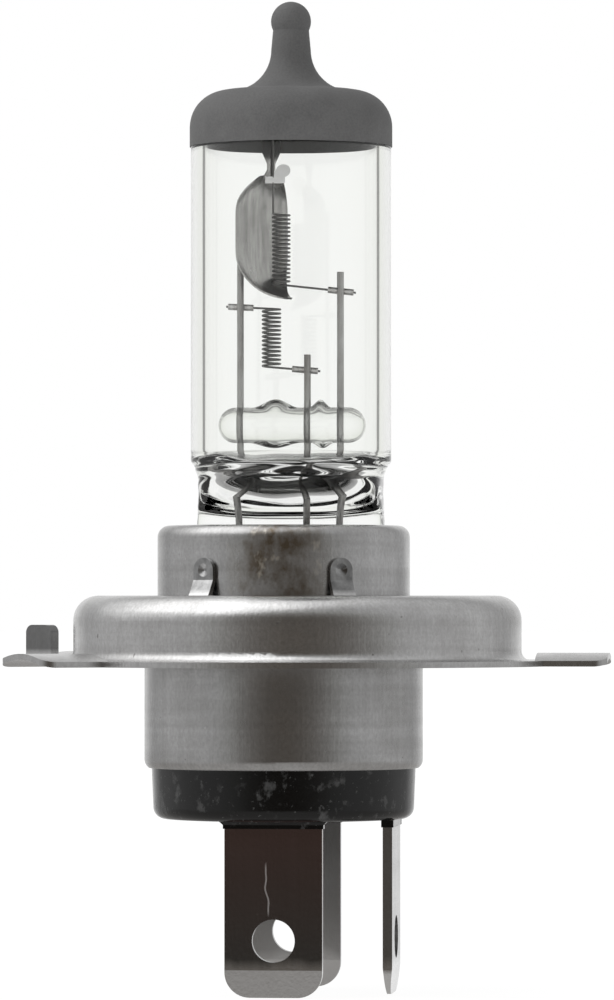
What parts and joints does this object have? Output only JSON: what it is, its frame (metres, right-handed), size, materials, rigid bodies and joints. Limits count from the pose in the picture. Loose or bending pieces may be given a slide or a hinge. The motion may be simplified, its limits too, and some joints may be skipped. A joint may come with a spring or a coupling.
{
  "type": "headlight bulb",
  "caption": "Halogen headlight bulb: clear glass tube with dark tip, filaments and shield inside, lugged steel focusing ring, black base and flat blade terminals.",
  "frame": {"origin": "centre of the pilot ring, on the front face of its flange", "axes": "+Z towards the glass tip, +X towards the reference lug and the single blade, +Y towards the high beam blade"},
  "size_m": [0.0513, 0.043, 0.084],
  "materials": {
    "glass": "clear, polished",
    "bridge_glass": "clear, fire-polished",
    "coating": "matte dark grey heat-proof coating",
    "post_wire": "dull drawn molybdenum",
    "filament_wire": "dark tungsten",
    "shield_sheet": "polished molybdenum sheet",
    "lead_wire": "drawn nickel",
    "shell_steel": "satin, fine vertical draw lines",
    "ring_steel": "satin, fine draw lines, bright shoulders",
    "insulator": "black moulding with pale scuffs",
    "blade_metal": "nickel-plated, brushed"
  },
  "bodies": {
    "root": {"glass_envelope": "glass", "glare_cap": "coating", "glass_bridge": "bridge_glass", "common_post": "post_wire", "low_beam_post": "post_wire", "high_beam_post": "post_wire", "low_beam_filament": "filament_wire", "high_beam_filament": "filament_wire", "low_beam_shield": "shield_sheet", "shield_clip": "shield_sheet", "low_beam_sleeve": "post_wire", "high_beam_upper_sleeve": "post_wire", "high_beam_lower_sleeve": "post_wire", "common_lead": "lead_wire", "low_beam_lead": "lead_wire", "high_beam_lead": "lead_wire", "glass_clip": "shell_steel", "upper_shell": "shell_steel", "flange_ring": "ring_steel", "lower_shell": "shell_steel", "insulator_base": "insulator", "ground_terminal": "blade_metal", "low_beam_terminal": "blade_metal", "high_beam_terminal": "blade_metal"}
  },
  "joints": []
}
